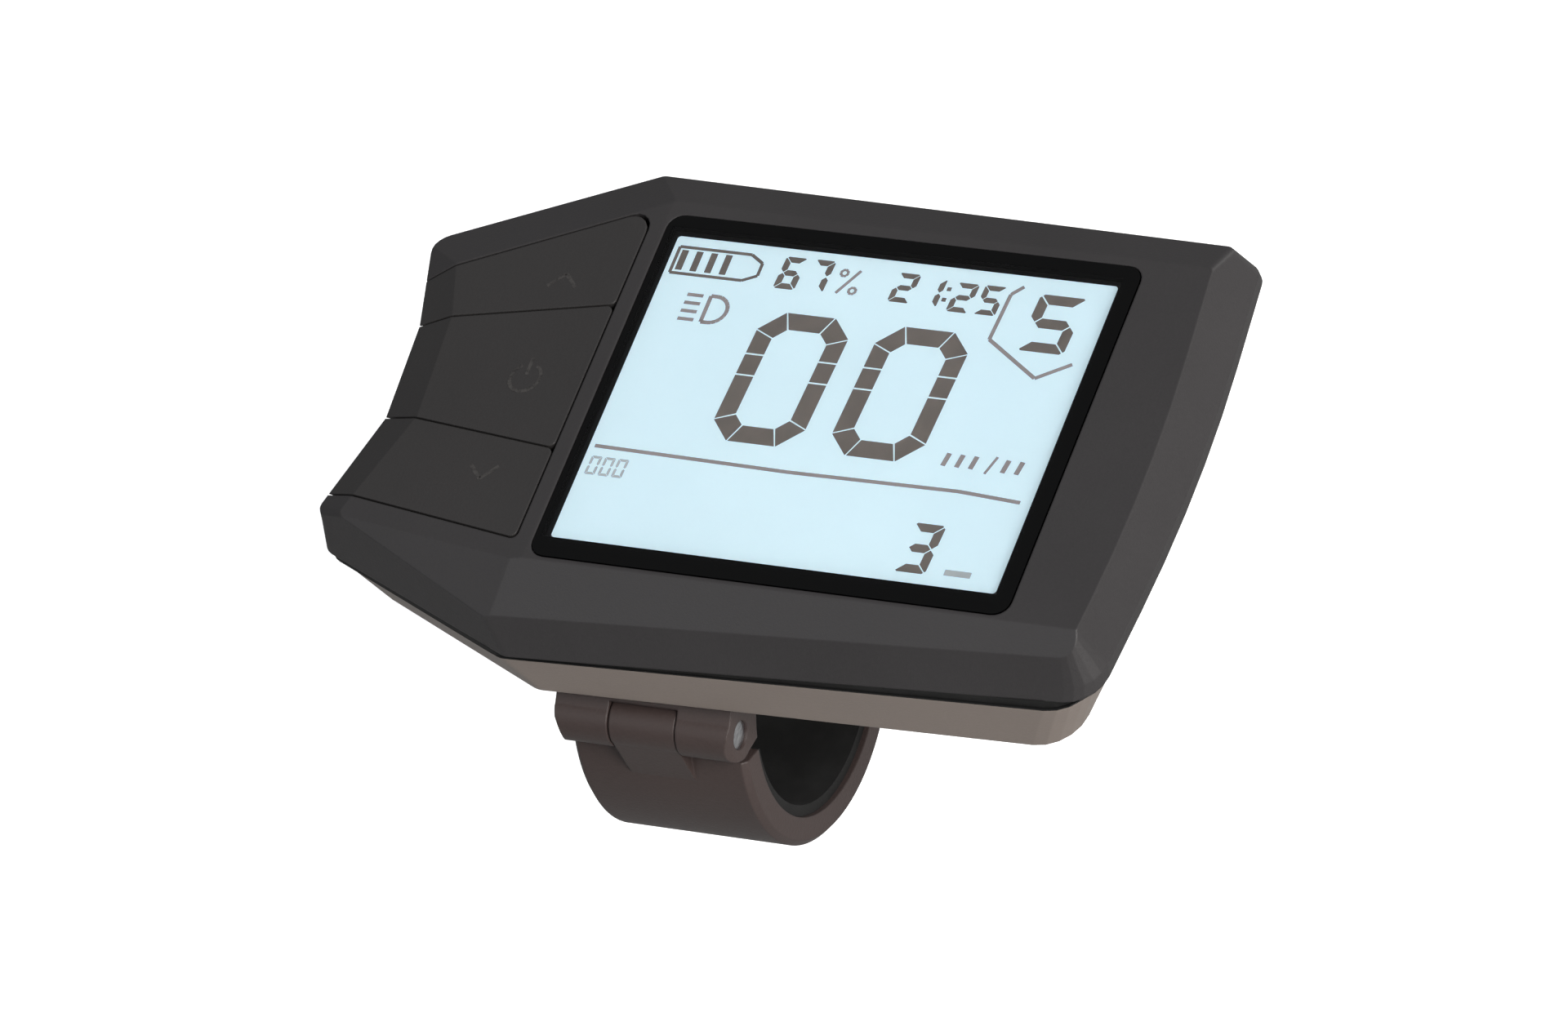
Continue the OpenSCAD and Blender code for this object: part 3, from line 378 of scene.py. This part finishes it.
def cut_nought(x, y, w, h, thick):
    """A nought with cut corners in a box from x, y: a ring between two octagons, split by hair gaps
    at its corners, at its waist and once above it on each side."""
    t, mid, split, hair = thick, h / 2, 0.34 * h, 0.16
    cut, inner_cut = 0.24 * w, 0.586 * thick
    inner = t + cut - inner_cut
    corner = [(0, cut), (cut, 0), (inner, t), (t, inner)]
    upper = [corner, [(0, cut), (t, inner), (t, split), (0, split)],
             [(0, split), (t, split), (t, mid), (0, mid)]]
    lower = [corner, [(0, cut), (t, inner), (t, mid), (0, mid)]]
    level = np.array([(cut, 0), (w - cut, 0), (w - inner, t), (inner, t)], float)
    rings = [level, np.abs(level - (0, h))]
    for across in (0, w):
        rings += [np.abs(np.array(outline, float) - (across, 0)) for outline in upper]
        rings += [np.abs(np.array(outline, float) - (across, h)) for outline in lower]
    placed = []
    for ring in rings:
        middle = (ring.min(0) + ring.max(0)) / 2
        ring = middle + (ring - middle) * (1 - hair / np.ptp(ring, axis=0))
        ring[:, 0] += figure_lean * (mid - ring[:, 1])
        placed.append(ring + (x, y))
    return placed


def on_face(rings):
    """Outlines from the window's upper left corner, in mm with y down, to the frame's mm."""
    corner, scale = np.array([face_left, face_top]), np.array([face_scale, -face_scale])
    return [corner + scale * ring for ring in rings]


def plates(rings, floor, height):
    """Thin plates from outlines in mm. Each outline, put counter-clockwise by the sign of its area
    sum(x[i] y[i+1] - x[i+1] y[i]), lies at floor(x, y) and again height above it, with sides."""
    points, faces, first = [], [], 0
    for ring in rings:
        x, y = ring.T
        if np.dot(x, np.roll(y, -1)) < np.dot(y, np.roll(x, -1)):
            ring = ring[::-1]
        under = floor(ring[:, 0], ring[:, 1])
        points += [np.column_stack([ring * MM, z]) for z in (under, under + height)]
        i = np.arange(len(ring))
        j = np.roll(i, -1)
        faces += [first + i[::-1], first + len(ring) + i]
        faces += list(first + np.column_stack([i, j, j + len(ring), i + len(ring)]))
        first += 2 * len(ring)
    return np.concatenate(points), faces


# Outlines in mm on the face: points, or a box's corner and size, and then the stroke's width.
charge = polyline([[0.55, 1.05], [7.3, 1.05], [8.55, 1.8], [8.55, 3.1], [7.3, 3.75], [0.55, 3.75]],
                  0.3, closed=True)
charge += [bar(1.2 + 1.37 * k, 1.35, 1.2 + 1.37 * k, 3.4, 0.62) for k in range(4)]
percent = figure("6", 10.4, 0.8, 2.0, 3.3, 0.58) + figure("7", 13.1, 0.75, 1.9, 3.3, 0.58)
percent_sign = [bar(16.1, 3.9, 17.6, 1.4, 0.3)]
percent_sign += arc(16.2, 1.8, 0.34, 0, 360, 0.26, 9) + arc(17.5, 3.5, 0.34, 0, 360, 0.26, 9)
clock = figure("2", 21.0, 1.1, 2.0, 3.0, 0.52) + figure("1", 23.5, 1.2, 2.0, 3.0, 0.52)
clock += figure("2", 26.5, 1.4, 2.0, 3.0, 0.52) + figure("5", 29.0, 1.35, 2.0, 3.0, 0.52)
clock += [bar(26.0, 2.0, 26.0, 2.4, 0.4), bar(25.9, 3.1, 25.9, 3.5, 0.4)]
level = figure("5", 34.1, 1.6, 4.3, 5.8, 0.98)
shield = polyline([[32.5, 1.1], [31.6, 2.0], [31.3, 6.7], [36.6, 10.0], [39.4, 8.2]], 0.36)
lamp = arc(5.8, 7.0, 1.35, -90, 90, 0.38, 12)
lamp += polyline([[5.8, 5.65], [5.2, 5.65], [5.2, 8.35], [5.8, 8.35]], 0.38)
lamp += [bar(3.0, 5.75 + 0.83 * k, 4.5, 5.75 + 0.83 * k, 0.34) for k in range(4)]
speed = cut_nought(10.2, 6.35, 8.6, 13.5, 1.85) + cut_nought(21.1, 6.35, 8.7, 13.5, 1.85)
strokes = [bar(31.9 + 1.25 * k, 18.3, 31.7 + 1.25 * k, 19.6, 0.46) for k in range(3)]
strokes += [bar(36.2, 18.1, 35.6, 19.9, 0.26)]
strokes += [bar(37.3 + 1.25 * k, 18.3, 37.1 + 1.25 * k, 19.6, 0.46) for k in range(2)]
rule = polyline([[0.5, 21.85], [18.5, 22.1], [34.0, 21.9], [39.7, 22.25]], 0.36)
trip = sum((figure("0", 0.6 + 1.25 * k, 22.85, 1.0, 1.9, 0.26) for k in range(3)), [])
distance = figure("3", 31.2, 25.4, 2.9, 4.9, 0.82)
unit = [bar(35.6, 29.85, 38.0, 29.85, 0.6)]


def segment_ink(name, dull, shine):
    """Liquid crystal that is switched on, as dark as its contrast allows. It glows its own colour,
    partly backlight through it and partly painted light for the daylight that the lens keeps off.
    """
    # Painted light: the segments' emission is partly backlight and partly daylight kept off by the
    # lens.
    material, shader, where = new_finish(name, Specular_IOR_Level=0.4, Emission_Strength=0.35)
    mottle = where.noise(1.5 * MM, 2.0)
    ink = mottle.blend(dull, shine)
    feed(shader, Base_Color=ink, Emission_Color=ink, Roughness=mottle * 0.1 + 0.3)
    return material


panel_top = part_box("lcd_panel")[1][2]


def panel_floor(x, y):
    """Underside of the segments: the panel's top, raised by a hair, at every x and y."""
    return np.full(x.shape, panel_top + segment_lift)


dark_ink = segment_ink("dark_segment", tone(92, 85, 80), tone(110, 101, 95))
grey_ink = segment_ink("grey_segment", tone(132, 124, 124), tone(146, 138, 138))
faint_ink = segment_ink("faint_segment", tone(160, 166, 168), tone(172, 178, 180))
for name, ink, rings in (
        ("figure_charge", dark_ink, charge),
        ("figure_percent", dark_ink, percent),
        ("figure_clock", dark_ink, clock),
        ("figure_level", dark_ink, level),
        ("figure_shield", grey_ink, shield),
        ("figure_lamp", grey_ink, lamp),
        ("figure_speed", dark_ink, speed),
        ("figure_rate", grey_ink, percent_sign + strokes),
        ("figure_rule", grey_ink, rule),
        ("figure_trip", faint_ink, trip),
        ("figure_distance", dark_ink, distance),
        ("figure_unit", faint_ink, unit)):
    points, faces = plates(on_face(rings), panel_floor, segment_depth)
    mesh_piece(name, points, faces, ink, "head", "screen")

# Backlight
# A clear acrylic guide, cut from sheet, spreads the light of three small lamps behind the panel.
# The moulded white tray that holds it stands on the board.
guide_acrylic, shader, where = new_finish(
    "guide_acrylic", Base_Color=(0.9, 0.96, 0.98, 1), Transmission_Weight=0.9, IOR=1.49)
feed(shader, Roughness=where.noise(0.5 * MM) * 0.3 + 0.1)
paint(guide_acrylic, "light_guide")
tray_plastic = moulded("tray_plastic", tone(228, 228, 222), spread=0.03, rough=0.4,
                       grain=0.4 * MM, depth=0.006 * MM, arris=0.1 * MM)
paint(tray_plastic, "backlight_tray")
lamp_resin, shader, where = new_finish("lamp_resin", Specular_IOR_Level=0.5)
phosphor = where.noise(0.4 * MM).ramp((0.3, 0.0), (0.7, 1.0))
feed(shader, Base_Color=phosphor.blend(tone(240, 238, 216), tone(246, 226, 110)),
     Roughness=phosphor * 0.2 + 0.2)
paint(lamp_resin, "backlight_leds")

# Circuit board
# Green glass-fibre board with its parts: the controller, a row of coils and capacitors, the plug
# header for the lead, the panel's amber tail in its socket, and three snap switches.
board_green, shader, where = new_finish("board_green", Specular_IOR_Level=0.5, Coat_Roughness=0.2)
weave = where.noise(0.6 * MM, 3.0)
tracks = where.node("TexWave", {"wave_type": "BANDS", "bands_direction": "DIAGONAL"},
                    {"Vector": where, "Scale": 160.0, "Distortion": 6.0, "Detail": 1.0})
copper = tracks.ramp((0.55, 0.0), (0.6, 1.0))
feed(shader, Base_Color=copper.blend(tone(14, 62, 36), tone(34, 98, 56)),
     Roughness=weave * 0.2 + 0.25,
     Normal=where.node("Bump", {}, {"Distance": 0.02 * MM, "Height": copper}))
paint(board_green, "circuit_board")
chip_resin = moulded("chip_resin", tone(30, 30, 32), spread=0.1, rough=0.6,
                     grain=0.12 * MM, depth=0.006 * MM, arris=0.05 * MM)
paint(chip_resin, "controller_chip")
ferrite = moulded("ferrite", tone(98, 80, 62), spread=0.25, rough=0.55,
                  grain=0.2 * MM, depth=0.01 * MM, arris=0.1 * MM)
paint(ferrite, "board_parts")
socket_plastic = moulded("socket_plastic", tone(226, 216, 194), spread=0.04, rough=0.4,
                         grain=0.3 * MM, depth=0.005 * MM, arris=0.08 * MM)
paint(socket_plastic, "lead_connector", "flex_connector")
amber_film, shader, where = new_finish("amber_film", Specular_IOR_Level=0.5)
lanes = where.node("TexWave", {"bands_direction": "X"}, {"Vector": where, "Scale": 320.0})
stripes = lanes.ramp((0.4, 0.0), (0.6, 1.0))
feed(shader, Base_Color=stripes.blend(tone(150, 82, 22), tone(206, 132, 50)),
     Roughness=lanes * 0.2 + 0.2)
paint(amber_film, "lcd_flex")
switch_resin = moulded("switch_resin", tone(38, 38, 42), spread=0.1, rough=0.5,
                       grain=0.2 * MM, depth=0.006 * MM, arris=0.08 * MM)
paint(switch_resin, "tact_switches")
plunger_resin = moulded("plunger_resin", tone(200, 194, 182), spread=0.05, rough=0.45,
                        grain=0.2 * MM, depth=0.004 * MM, arris=0.08 * MM)
paint(plunger_resin, "switch_plunger_up", "switch_plunger_power", "switch_plunger_down")

# Keys
# Three caps in the form of the wing, moulded in the same plastic a little darker, each with a stem
# through the shelf. Plain signs are printed on them: up, a power ring, and down.
key_plastic = moulded("key_plastic", tone(47, 45, 45), spread=0.09, rough=0.5,
                      grain=0.24 * MM, depth=0.016 * MM, arris=0.18 * MM)
paint(key_plastic, "key_up", "key_power", "key_down")

print_ink, shader, where = new_finish("print_ink", Specular_IOR_Level=0.3)
wear = where.noise(0.5 * MM, 3.0).ramp((0.35, 0.0), (0.6, 1.0))
feed(shader, Base_Color=wear.blend(tone(48, 46, 46), tone(68, 66, 65)), Roughness=wear * 0.1 + 0.5)

face_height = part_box("front_shell")[1][2] / MM
crease = lens_low[0] / MM - 0.4
wing_slope = np.tan(np.radians(5.3))
print_proud = 0.015


def wing_floor(x, y):
    """Underside of a print on the wing: the wing's plane falls to the left of the crease."""
    return (face_height - np.maximum(0, crease - x) * wing_slope - print_proud) * MM


up_sign = polyline([[-17.0, 19.9], [-15.6, 21.3], [-14.2, 19.9]], 0.36)
power_sign = arc(-15.3, 10.2, 1.45, 120, 420, 0.34, 26) + [bar(-15.3, 10.5, -15.3, 12.3, 0.34)]
down_sign = polyline([[-16.9, 0.9], [-15.5, -0.5], [-14.1, 0.9]], 0.36)
for key, rings in {"up": up_sign, "power": power_sign, "down": down_sign}.items():
    points, faces = plates(rings, wing_floor, 2 * print_proud * MM)
    mesh_piece("sign_" + key, points, faces, print_ink, "key_" + key, "plunger_plastic")

# Clamp
# The base with its hinge ears is screwed to the rear shell, and the band closes round the bar under
# it. Both are moulded in glass-filled nylon, dark and a little brown, with a rough satin skin.
clamp_nylon = moulded("clamp_nylon", tone(62, 51, 49), spread=0.14, rough=0.5,
                      grain=0.3 * MM, depth=0.02 * MM, arris=0.25 * MM)
paint(clamp_nylon, "clamp_base", "clamp_band")

# Fasteners
# The screws, the washer and the pin are steel with a bright zinc plate, and the insert pressed into
# the clamp base is knurled brass. The clamp screw's head is knurled, with a hexagon socket.


def bright_metal(name, dull, shine, rough, stretch):
    """Machined metal: two tones along fine turning marks, which also vary the roughness."""
    material, shader, where = new_finish(name, Metallic=1.0)
    turned = where.node("Mapping", {}, {"Vector": where, "Scale": stretch})
    marks = turned.noise(0.6 * MM, 3.0)
    feed(shader, Base_Color=marks.ramp((0.3, 0.0), (0.7, 1.0)).blend(dull, shine),
         Roughness=marks * 0.2 + rough,
         Normal=where.node("Bump", {}, {"Distance": 0.004 * MM, "Height": marks}))
    return material


zinc = bright_metal("zinc_plate", tone(150, 152, 156), tone(205, 206, 208), 0.22, (1, 1, 6))
paint(zinc, "shell_screws", "board_screws", "base_screws",
      "hinge_pin", "clamp_screw", "clamp_washer")


def turned_piece(profile, place):
    """Closed body round an upright axis at place in mm. profile has rows of z and r, each r a
    number or an array over the angles. The path starts and ends on the axis and goes up outside."""
    count = max(np.size(r) for z, r in profile)
    angle = np.linspace(0, 2 * np.pi, count, endpoint=False)
    rings = [np.column_stack([r * np.cos(angle), r * np.sin(angle), np.full(count, z)])
             for z, r in profile]
    ends = [[0, 0, profile[0][0]], [0, 0, profile[-1][0]]]
    points = (np.concatenate(rings + [ends]) + np.append(place, 0)) * MM
    i = np.arange(count)
    j = np.roll(i, -1)
    top = (len(rings) - 1) * count
    first = np.full(count, len(points) - 2)
    faces = list(ring_faces(count, len(rings), closed=False))
    faces += list(np.column_stack([first, j, i]))
    faces += list(np.column_stack([top + i, top + j, first + 1]))
    return points, faces


screw_low, screw_high = (np.array(v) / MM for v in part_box("clamp_screw"))
screw_place = (screw_low[:2] + screw_high[:2]) / 2
low, tip = screw_low[2], screw_high[2]
head_r, head_h, core_r = 2.75, 3.0, 1.25
head_rim, head_shoulder = 0.93 * head_r, 0.965 * head_r
socket_r, socket_depth = 1.25, 1.6
flutes, flute_depth = 40, 0.09
pitch, thread_depth, rows_per_turn = 0.5, 0.14, 6

# The hexagon's radius is its inner radius over the cosine of the angle from the nearest flat, and
# the knurl takes a rectified sine off the head. The thread's depth follows the saw of z less turn.
angle = np.linspace(0, 2 * np.pi, 240, endpoint=False)
hexagon = socket_r / np.cos((angle + np.pi / 6) % (np.pi / 3) - np.pi / 6)
knurl = head_r - flute_depth * np.abs(np.sin(flutes / 2 * angle))
profile = [(low + socket_depth, 0.6 * hexagon), (low + socket_depth - 0.15, hexagon),
           (low + 0.12, hexagon), (low, 1.13 * hexagon),
           (low, 0.86 * head_r), (low + 0.1, head_rim), (low + 0.3, head_shoulder),
           (low + 0.4, knurl), (low + head_h - 0.3, knurl),
           (low + head_h - 0.2, head_shoulder), (low + head_h, head_rim), (low + head_h, core_r)]
for z in np.arange(low + head_h + 0.3, tip - 0.35, pitch / rows_per_turn):
    turn = (z / pitch - angle / (2 * np.pi)) % 1.0
    profile.append((z, core_r - thread_depth * np.abs(2 * turn - 1)))
profile += [(tip - 0.3, core_r - thread_depth), (tip, 0.75 * core_r)]
points, faces = turned_piece(profile, screw_place)
mesh_piece("clamp_screw_threaded", points, faces, zinc, "screw", "steel", "clamp_screw")

brass = bright_metal("insert_brass", tone(168, 128, 62), tone(214, 176, 98), 0.25, (1, 1, 5))
paint(brass, "threaded_insert")

# Studio
# A pale floor, low enough for the opened band to swing clear of it, in a surround that is brighter
# overhead. A soft lamp stands at the rider's right, a weak one at the left and one behind. The
# camera stands where the photograph's stood and frames the part closely.
floor_half = 1.5
swing_room = 60 * MM
floor_z = cad_low[2] - swing_room
floor_mesh = bpy.data.meshes.new("floor")
floor_mesh.from_pydata([(-floor_half, -floor_half, floor_z), (floor_half, -floor_half, floor_z),
                        (floor_half, floor_half, floor_z), (-floor_half, floor_half, floor_z)],
                       [], [(0, 1, 2, 3)])
floor = bpy.data.objects.new("floor", floor_mesh)
bpy.context.scene.collection.objects.link(floor)
floor_paint, shader, where = new_finish(
    "floor_paint", Specular_IOR_Level=0.2, Emission_Strength=0.55)
dust = where.noise(120 * MM, 3.0)
seen = where.node("LightPath", output="Is Camera Ray")
feed(shader, Base_Color=seen.blend(tone(165), dust.blend(tone(236), tone(242))),
     Roughness=dust * 0.1 + 0.8, Emission_Color=seen.blend((0, 0, 0, 1), (1, 1, 1, 1)))
floor_mesh.materials.append(floor_paint)
floor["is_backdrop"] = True

sky_level, sky_rise, background_level = 0.15, 0.24, 0.97
world = bpy.data.worlds.new("studio")
bpy.context.scene.world = world
world.use_nodes = True
surround = world.node_tree.nodes["Background"]
surround.inputs["Color"].default_value = (0.96, 0.98, 1.0, 1)
sky = Wire(world.node_tree)
ray = sky.node("TexCoord", output="Generated")
height = sky.node("SeparateXYZ", {}, {"Vector": ray}, output=2).math("MAXIMUM", 0.0)
lit = height * sky_rise + sky_level
rays = sky.node("LightPath", output="Is Camera Ray")
strength = lit + rays * (background_level - lit)
world.node_tree.links.new(strength.socket, surround.inputs["Strength"])


def soft_lamp(name, place, size, power, colour):
    """A square area lamp of that size at place, turned to the origin."""
    light = bpy.data.lights.new(name, "AREA")
    light.size = size
    light.energy = power
    light.color = colour
    lamp_object = bpy.data.objects.new(name, light)
    bpy.context.scene.collection.objects.link(lamp_object)
    turn = Vector(place).normalized().to_track_quat("Z", "Y")
    lamp_object.matrix_world = Matrix.Translation(place) @ turn.to_matrix().to_4x4()


soft_lamp("key_lamp", (0.62, -0.24, 0.50), size=0.4, power=8.2, colour=(1.0, 0.98, 0.95))
soft_lamp("fill_lamp", (-0.37, -0.51, 0.59), size=0.5, power=0.7, colour=(0.95, 0.98, 1.0))
soft_lamp("back_lamp", (0.40, 0.80, 0.22), size=0.5, power=2.0, colour=(1.0, 0.99, 0.97))

camera_place = (0.41694, -0.45696, 0.74169)
camera_right = (0.89601, 0.33520, -0.29122)
camera_up = (-0.11374, 0.80722, 0.57918)
camera_back = (0.42923, -0.48583, 0.76140)
closer = 2.75
photo_focal, photo_width, sensor = 5000.0, 1920.0, 36.0
camera_data = bpy.data.cameras.new("camera")
camera_data.sensor_width = sensor
camera_data.lens = closer * photo_focal / photo_width * sensor
camera_data.clip_start = 0.01
camera = bpy.data.objects.new("camera", camera_data)
bpy.context.scene.collection.objects.link(camera)
turned = Matrix((camera_right, camera_up, camera_back)).transposed().to_4x4()
camera.matrix_world = Matrix.Translation(camera_place) @ turned
bpy.context.scene.camera = camera
bpy.context.scene.view_settings.view_transform = "Standard"

low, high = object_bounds()
